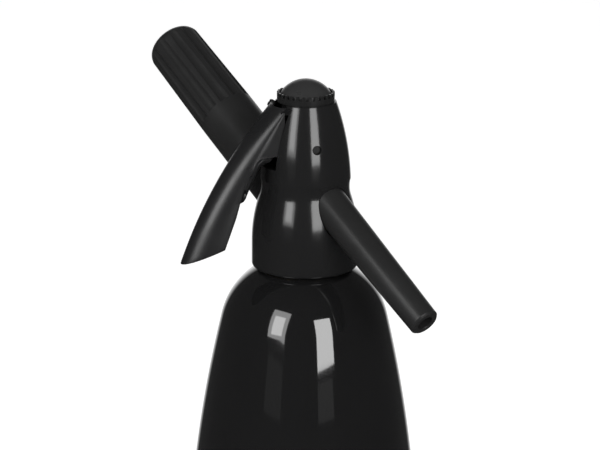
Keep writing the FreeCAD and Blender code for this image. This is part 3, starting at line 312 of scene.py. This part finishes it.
def pin_bore(name, radius, sides):
    """A working rod across the lever, along its pin."""
    on_pin = LEVER @ Matrix.Translation((PIN.x * MM, 0, PIN.y * MM)) @ Matrix.Rotation(math.pi / 2, 4, "X")
    return loose(name, spun(outline_of([(0, -30), (radius, -30), (radius, 30), (0, 30)], 0.01), sides, on_pin))


bell = loose("bell", spun(outline_of([
    (21.5, 0), (21.9, 0), (23.7, 1.8, 1.8, 1), (23.7, 12), (20.189, 33.1, 65, 1), (20.189, 40.7, 15, -1),
    (13.6, 74.7, 115, 1), (13.2, 75.1, 0.4, 1), (10.6, 75.1), (10.6, 67.5), (13.2, 67.5),
    (16.7, 36.9, 112, -1), (19.5, 20), (21.5, 20),
], 0.2), 256, on_head))
boss = loose("boss", spun(outline_of([(0, 12.5), (13.25, 12.5), (13.25, 34), (0, 34)], 0.35), 128, HOLDER))
cavity = loose("cavity", spun(outline_of([
    (0, -1), (21.5, -1), (21.5, 20), (19.5, 20), (16.7, 36.9), (13.2, 67.5, 112, 1), (0, 67.5),
], 0.01), 192, on_head))
worked(boss, "DIFFERENCE", cavity)
housing = worked(bell, "UNION", boss)
worked(
    housing, "DIFFERENCE",
    loose("socket_room", spun(outline_of([(0, 10), (11.25, 10), (11.25, 40), (0, 40)], 0.01), 96, HOLDER)),
    loose("spout_hole", spun(outline_of([(0, 12), (8.5, 12), (8.5, 60), (0, 60)], 0.01), 96, SPOUT)),
    slab("slot", (4, -9.3, 47), (25, 9.3, 67.5), LEVER),
    slab("notch", (11.6, -9.3, 67.4), (25, 9.3, 80), LEVER),
    pin_bore("pin_way", 2.03, 64),
)
housing.name = "head_shell"
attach(housing, "head")
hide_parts("head_housing")
gloss_plastic = finish("gloss black plastic", (0.010, 0.010, 0.0102), (0.013, 0.013, 0.0132), 0.14, 0.03, 25, 3,
                       1.5, coat=0.1)
dressed(housing, gloss_plastic)

# Top cap: a domed screw cap that closes the valve's room and carries its spring.
# It is moulded in black plastic with a duller skin than the head's.

cap = piece_from("dome_cap", spun(outline_of([
    (8.2, 68.5), (10.45, 68.5), (10.45, 76), (11.3, 76), (11.3, 78.5), (0, 84.8, 13.284, 1), (0, 73.4),
    (8.2, 73.4),
], 0.3), 192, on_head), "head", "top_cap")
cap_plastic = finish("cap plastic", (0.026, 0.026, 0.026), (0.034, 0.034, 0.034), 0.3, 0.05, 12, 1.0, 3)
dressed(cap, cap_plastic)

# Cap ring: a toothed plastic ring clamped under the dome cap.
# Square notches run round its rim, for the grip of a spanner or the fingers.

TOOTH_COUNT = 28
RING_FOOT, TOOTH_TOP, NOTCH_FLOOR = 75.1, 79.3, 77.7


def toothed_ring():
    """The ring, walked round its rim over each tooth and each notch."""
    pitch = 2 * math.pi / TOOTH_COUNT
    half = 0.7 / 12.25
    steps = [(0, NOTCH_FLOOR), (half * 0.5, NOTCH_FLOOR), (half - 0.012, NOTCH_FLOOR),
             (half, NOTCH_FLOOR + 0.12), (half + 0.002, TOOTH_TOP - 0.2), (half + 0.014, TOOTH_TOP),
             (pitch / 2, TOOTH_TOP)]
    walk = [(-turn, top) for turn, top in reversed(steps[1:-1])] + steps
    bm = bmesh.new()
    sections = []
    for tooth in range(TOOTH_COUNT):
        for turn, top in walk:
            angle = tooth * pitch + turn
            rim = [(10.6, RING_FOOT), (12.65, RING_FOOT), (12.75, RING_FOOT + 0.1), (12.75, top - 0.18),
                   (12.57, top), (11.8, top), (11.65, top - 0.15), (11.65, 76), (10.6, 76)]
            sections.append([bm.verts.new((r * math.cos(angle) * MM, r * math.sin(angle) * MM, z * MM))
                             for r, z in rim])
    for one, two in zip(sections, sections[1:] + sections[:1]):
        for index in range(len(one)):
            bm.faces.new([one[index - 1], one[index], two[index], two[index - 1]])
    bm.transform(on_head)
    return bm


ring_plastic = finish("ring plastic", (0.010, 0.010, 0.010), (0.015, 0.015, 0.015), 0.22, 0.05, 6, 0.8, 3,
                      coat=0.3)
cap_ring = piece_from("toothed_ring", toothed_ring(), "head", "cap_ring", sharp=30)
dressed(cap_ring, ring_plastic)

# Lever: a moulded channel in charcoal plastic that swings on the pin. Its arched crown takes the palm, a plate
# closes its lower end, and two cheeks reach in to the pin and the valve stem.

CROWN_TOP, CROWN_TIP, CROWN_RISE = Vector((16.2, 73.7)), Vector((58.0, 6.0)), 4.1
CUT_END = Vector((40.7, 13.2))
crown_way = CROWN_TIP - CROWN_TOP
crown_bow = crown_way.length ** 2 / (8 * CROWN_RISE) + CROWN_RISE / 2
crown_out = Vector((-crown_way.y, crown_way.x)).normalized()
crown_centre = (CROWN_TOP + CROWN_TIP) / 2 + crown_out * (CROWN_RISE - crown_bow)
top_turn = math.atan2(*(CROWN_TOP - crown_centre).yx)
tip_turn = math.atan2(*(CROWN_TIP - crown_centre).yx)
ARCH = math.radians(75)
LEVER_TOP, TOP_HALF, TIP_HALF, TOP_ARCH, TIP_ARCH, LEVER_WALL = 74.3, 8.8, 9.6, 3.5, 15.0, 2.0


def crown_spot(turn, arch):
    """A point on the crown (reach, across, height): the turn runs down the lever, the arch runs round it."""
    share = (top_turn - turn) / (top_turn - tip_turn)
    across = (TOP_HALF + (TIP_HALF - TOP_HALF) * share) * math.sin(arch) / math.sin(ARCH)
    down = (TOP_ARCH + (TIP_ARCH - TOP_ARCH) * share) * (1 - math.cos(arch)) / (1 - math.cos(ARCH))
    spot = crown_centre + Vector((math.cos(turn), math.sin(turn))) * (crown_bow - down)
    return Vector((spot.x, across, spot.y))


def found(inside, low, high):
    """The place between low, where inside holds, and high, where it doesn't, at which it stops."""
    for _ in range(40):
        middle = (low + high) / 2
        low, high = (middle, high) if inside(middle) else (low, middle)
    return low


def above_cut(spot):
    """Whether a point of the crown lies above the slanting cut at the lever's lower end."""
    cut = CUT_END - CROWN_TIP
    return cut.x * (spot.z - CROWN_TIP.y) - cut.y * (spot.x - CROWN_TIP.x) < 0


def cut_turn(arch):
    """Where a column of the crown meets the slanting cut."""
    return found(lambda turn: above_cut(crown_spot(turn, arch)), top_turn, tip_turn - 0.2)


def lever_skin():
    """The outer skin: columns run down the crown and its two sides, and one plate closes the lower end."""
    last = found(lambda arch: crown_spot(cut_turn(arch), arch).x > CUT_END.x, 0.0, ARCH)
    rim = [Vector(spot) for spot in (
        (13.0, LEVER_TOP), (13.0, 66.5), (11.3, 61.5), (10.3, 57), (11.3, 53.3), (19, 53.1), (23.0, 53.2),
        (24.6, 52.6), (26.0, 51.2), (31.5, 41.1), (35.5, 27), tuple(CUT_END))]
    lengths = [0.0]
    for one, two in zip(rim, rim[1:]):
        lengths.append(lengths[-1] + (two - one).length)
    bm = bmesh.new()
    rows = []
    arch_steps, down_steps, side_steps = 9, 36, 6
    arches = [step / arch_steps for step in range(-arch_steps, arch_steps + 1)]
    for step in range(down_steps + 1):
        share = step / down_steps
        reach = share * lengths[-1]
        index = max(i for i, length in enumerate(lengths[:-1]) if length <= reach + 1e-9)
        foot_share = (reach - lengths[index]) / (lengths[index + 1] - lengths[index])
        foot = rim[index].lerp(rim[index + 1], foot_share)
        row = []
        for arch_share in arches:
            begin, stop = arch_share * ARCH, arch_share * last
            high = found(lambda turn: crown_spot(turn, begin).z > LEVER_TOP, top_turn + 0.2, tip_turn)
            low = cut_turn(stop)
            row.append(crown_spot(high + (low - high) * share, begin + (stop - begin) * share))
        sides = []
        for edge in (row[0], row[-1]):
            side_foot = Vector((foot.x, edge.y, foot.y))
            sides.append([edge.lerp(side_foot, part / side_steps) for part in range(1, side_steps + 1)])
        row = sides[0][::-1] + row + sides[1]
        rows.append([bm.verts.new(spot * MM) for spot in row])
    for one, two in zip(rows, rows[1:]):
        for index in range(len(one) - 1):
            bm.faces.new([one[index], one[index + 1], two[index + 1], two[index]])
    bmesh.ops.remove_doubles(bm, verts=bm.verts, dist=1e-6)
    ends = [vert for vert in rows[-1] if vert.is_valid]
    bm.faces.new(ends)
    bmesh.ops.dissolve_degenerate(bm, edges=bm.edges, dist=1e-6)
    bm.transform(LEVER)
    return bm


def cheek(side):
    """One cheek's plate, from the pin's hub in to the nose that lifts the stem."""
    hub_radius, nose_radius, nose = 4.0, 2.5, PIN - Vector((6.5, 0))
    outline = [Vector((12.5, 53)), Vector((12.5, 61.3))]
    for centre, radius, first, final in (
            (PIN, hub_radius, 60, 100), (nose, nose_radius, 110, 250), (PIN, hub_radius, 255, 285)):
        for step in range(9):
            turn = math.radians(first + (final - first) * step / 8)
            outline.append(centre + Vector((math.cos(turn), math.sin(turn))) * radius)
    bm = bmesh.new()
    plates = [[bm.verts.new((spot.x * MM, side * across * MM, spot.y * MM)) for spot in outline]
              for across in (6.85, 8.78)]
    bm.faces.new(plates[0])
    bm.faces.new(plates[1])
    for index in range(len(outline)):
        bm.faces.new([plates[0][index - 1], plates[0][index], plates[1][index], plates[1][index - 1]])
    bm.transform(LEVER)
    return worked(loose("cheek", bm), "DIFFERENCE", pin_bore("bore", 2.06, 48))


lever_plastic = finish("charcoal plastic", (0.010, 0.010, 0.0105), (0.014, 0.014, 0.0145), 0.30, 0.05, 18, 0.7,
                       5)
lever = loose("lever_channel", lever_skin())
wall = lever.modifiers.new("wall", "SOLIDIFY")
wall.thickness = LEVER_WALL * MM
wall.offset = -1
rounding = lever.modifiers.new("rounding", "BEVEL")
rounding.width = 0.5 * MM
rounding.segments = 3
rounding.limit_method = "ANGLE"
rounding.angle_limit = math.radians(50)
worked(lever, "UNION")
lever.data.set_sharp_from_angle(angle=math.radians(50))
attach(lever, "lever")
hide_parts("lever")
dressed(lever, lever_plastic)
for side in (-1, 1):
    plate = cheek(side)
    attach(plate, "lever")
    dressed(plate, lever_plastic)

# Spout: a tapered tube moulded in satin black plastic, with a bevelled mouth.
# It is pushed over the brass nipple.

spout_plastic = finish("satin black plastic", (0.015, 0.015, 0.015), (0.020, 0.020, 0.020), 0.33, 0.05, 15, 0.5,
                       7)
spout = piece_from("spout_tube", spun(outline_of([
    (5.1, 17.6), (8.3, 17.6), (6.7, 92.5), (5.8, 93.4), (3.9, 93.4), (3.6, 93.1), (3.6, 40.1), (5.1, 40.1),
], 0.35), 160, SPOUT), "head", "spout")
dressed(spout, spout_plastic)

# Charger holder: a cup in the spout's plastic that screws over the charger and into the head's socket.
# Long flutes for the fingers are moulded in its outer half.

FLUTE_COUNT, HOLDER_RADIUS = 12, 13.25


def fluted_holder():
    """The cup, with columns that follow the edges of each flute."""
    reach, flute, start, dome_start = 15.1, 3.2, 65.0, 113
    outline = outline_of([
        (12.2, 34.4), (12.85, 34.4), (HOLDER_RADIUS, 34.8), (HOLDER_RADIUS, 64.98), (13.2497, 65.02),
        (12.5, 109.49), (7.955, 114.9, 5.5, 1), (0, 115.6, 45.8, 1), (0, 106.4), (9.6, 97.8, 9.66, -1),
        (9.6, 48.0), (12.2, 48.0),
    ], 0.25)
    shares = [-1, -0.75, -0.5, -0.25, 0, 0.25, 0.5, 0.75, 1]
    pitch = 2 * math.pi / FLUTE_COUNT
    spare = math.acos((HOLDER_RADIUS ** 2 + reach ** 2 - flute ** 2) / (2 * HOLDER_RADIUS * reach))
    bm = bmesh.new()
    rings = []
    for point in outline:
        radius, height = point
        outside = height >= start + 0.01 and (radius > 10 or height > dome_start)
        cosine = (radius ** 2 + reach ** 2 - flute ** 2) / (2 * max(radius, 1e-6) * reach)
        edge = math.acos(min(1.0, cosine)) if outside else 0.0
        fluted = edge > 0.02
        half = edge if fluted else spare
        ring = []
        for index in range(FLUTE_COUNT):
            for share in shares:
                turn = share * half
                dig = radius
                if fluted:
                    depth = math.sqrt(max(0, flute ** 2 - (reach * math.sin(turn)) ** 2))
                    dig = min(radius, reach * math.cos(turn) - depth)
                ring.append((dig, index * pitch + turn))
            width = pitch - 2 * half
            for share in (0.25, 0.5, 0.75):
                ring.append((radius, index * pitch + half + share * width))
        if radius < 1e-6:
            rings.append([bm.verts.new((0, 0, height * MM))] * len(ring))
        else:
            rings.append([bm.verts.new((dig * math.cos(turn) * MM, dig * math.sin(turn) * MM, height * MM))
                          for dig, turn in ring])
    skinned(bm, rings)
    bm.transform(HOLDER)
    return bm


holder = piece_from("holder_grip", fluted_holder(), "charger_holder", "charger_holder", sharp=25)
dressed(holder, spout_plastic)

# Floor: a plain pale sweep that keeps the siphon's shadow.
# The camera sees it a little brighter than it is lit.

bm = bmesh.new()
bmesh.ops.create_grid(bm, x_segments=1, y_segments=1, size=12)
floor = loose("floor", bm)
floor.visible_glossy = False
pale = bpy.data.materials.new("pale floor")
pale.use_nodes = True
tree = pale.node_tree
shader = tree.nodes["Principled BSDF"]
shader.inputs["Base Color"].default_value = (0.82, 0.82, 0.82, 1)
shader.inputs["Roughness"].default_value = 0.9
shader.inputs["Emission Color"].default_value = (1, 1, 1, 1)
path = tree.nodes.new("ShaderNodeLightPath")
glow = tree.nodes.new("ShaderNodeMath")
glow.operation = "MULTIPLY"
glow.inputs[1].default_value = 0.55
tree.links.new(path.outputs["Is Camera Ray"], glow.inputs[0])
tree.links.new(glow.outputs["Value"], shader.inputs["Emission Strength"])
dressed(floor, pale)

# Camera: as the photograph is taken, a long lens a little above the head.
# It leans a little, because the siphon does so in the photograph.

CAMERA_TURN, CAMERA_LIFT, CAMERA_FAR = math.radians(49.5), math.radians(16), 1.2


def towards(turn, lift):
    """The way out from the siphon at this turn and lift, in radians."""
    return Vector((math.sin(turn) * math.cos(lift), -math.cos(turn) * math.cos(lift), math.sin(lift)))


AIM_HEIGHT, AIM_LEFT = 0.2183, 0.00222
CAMERA_LEAN = math.radians(0.35)
aim = Vector((0, 0, AIM_HEIGHT)) - Vector((math.cos(CAMERA_TURN), math.sin(CAMERA_TURN), 0)) * AIM_LEFT
camera = bpy.data.objects.new("camera", bpy.data.cameras.new("camera"))
camera.data.lens = 162
camera.location = aim + towards(CAMERA_TURN, CAMERA_LIFT) * CAMERA_FAR
camera.rotation_euler = (-towards(CAMERA_TURN, CAMERA_LIFT)).to_track_quat("-Z", "Y").to_euler()
camera.rotation_euler.rotate_axis("Z", CAMERA_LEAN)
bpy.context.scene.collection.objects.link(camera)
bpy.context.scene.camera = camera

# Lamps: two tall soft boxes, one each side of the camera, the left one brighter in its middle.
# Each has a weak strip below it.


def soft_box(name, turn, lift, width, height, radiance):
    """A lamp a metre from the head, turn degrees to the camera's right and lift degrees up."""
    lamp = bpy.data.lights.new(name, "AREA")
    lamp.shape = "RECTANGLE"
    lamp.size = 2 * math.tan(math.radians(width / 2))
    lamp.size_y = 2 * math.tan(math.radians(height / 2))
    lamp.energy = radiance * math.pi * lamp.size * lamp.size_y
    way = towards(CAMERA_TURN + math.radians(turn), math.radians(lift))
    box = bpy.data.objects.new(name, lamp)
    box.location = Vector((0, 0, 0.2)) + way
    box.rotation_euler = (-way).to_track_quat("-Z", "Y").to_euler()
    bpy.context.scene.collection.objects.link(box)


soft_box("left_box", -38, 23.7, 25, 37, 2.8)
soft_box("left_core", -38, 21, 15, 26, 3.4)
soft_box("right_box", 27, 17.6, 22, 31, 6.0)
soft_box("left_strip", -36, -1, 20, 7, 0.08)
soft_box("right_strip", 25, -2, 18, 5, 0.15)

# Studio: a plain white room. Polished surfaces mirror it white behind the siphon and dark elsewhere.
# The camera sees it white.

world = bpy.data.worlds.new("studio")
bpy.context.scene.world = world
world.use_nodes = True
tree = world.node_tree
path = tree.nodes.new("ShaderNodeLightPath")
place = tree.nodes.new("ShaderNodeTexCoord")
facing = tree.nodes.new("ShaderNodeVectorMath")
facing.operation = "DOT_PRODUCT"
facing.inputs[1].default_value = towards(CAMERA_TURN, 0)
backdrop = tree.nodes.new("ShaderNodeMapRange")
backdrop.inputs["From Min"].default_value = -0.97
backdrop.inputs["From Max"].default_value = -0.86
backdrop.inputs["To Min"].default_value = 1.0
backdrop.inputs["To Max"].default_value = 0.035
glossy = tree.nodes.new("ShaderNodeMix")
glossy.inputs["A"].default_value = 0.55
seen = tree.nodes.new("ShaderNodeMix")
seen.inputs["B"].default_value = 1.0
tree.links.new(place.outputs["Generated"], facing.inputs[0])
tree.links.new(facing.outputs["Value"], backdrop.inputs["Value"])
tree.links.new(path.outputs["Is Glossy Ray"], glossy.inputs["Factor"])
tree.links.new(backdrop.outputs["Result"], glossy.inputs["B"])
tree.links.new(path.outputs["Is Camera Ray"], seen.inputs["Factor"])
tree.links.new(glossy.outputs["Result"], seen.inputs["A"])
tree.links.new(seen.outputs["Result"], tree.nodes["Background"].inputs["Strength"])
tree.nodes["Background"].inputs["Color"].default_value = (1, 1, 1, 1)

bpy.context.scene.view_settings.view_transform = "Standard"
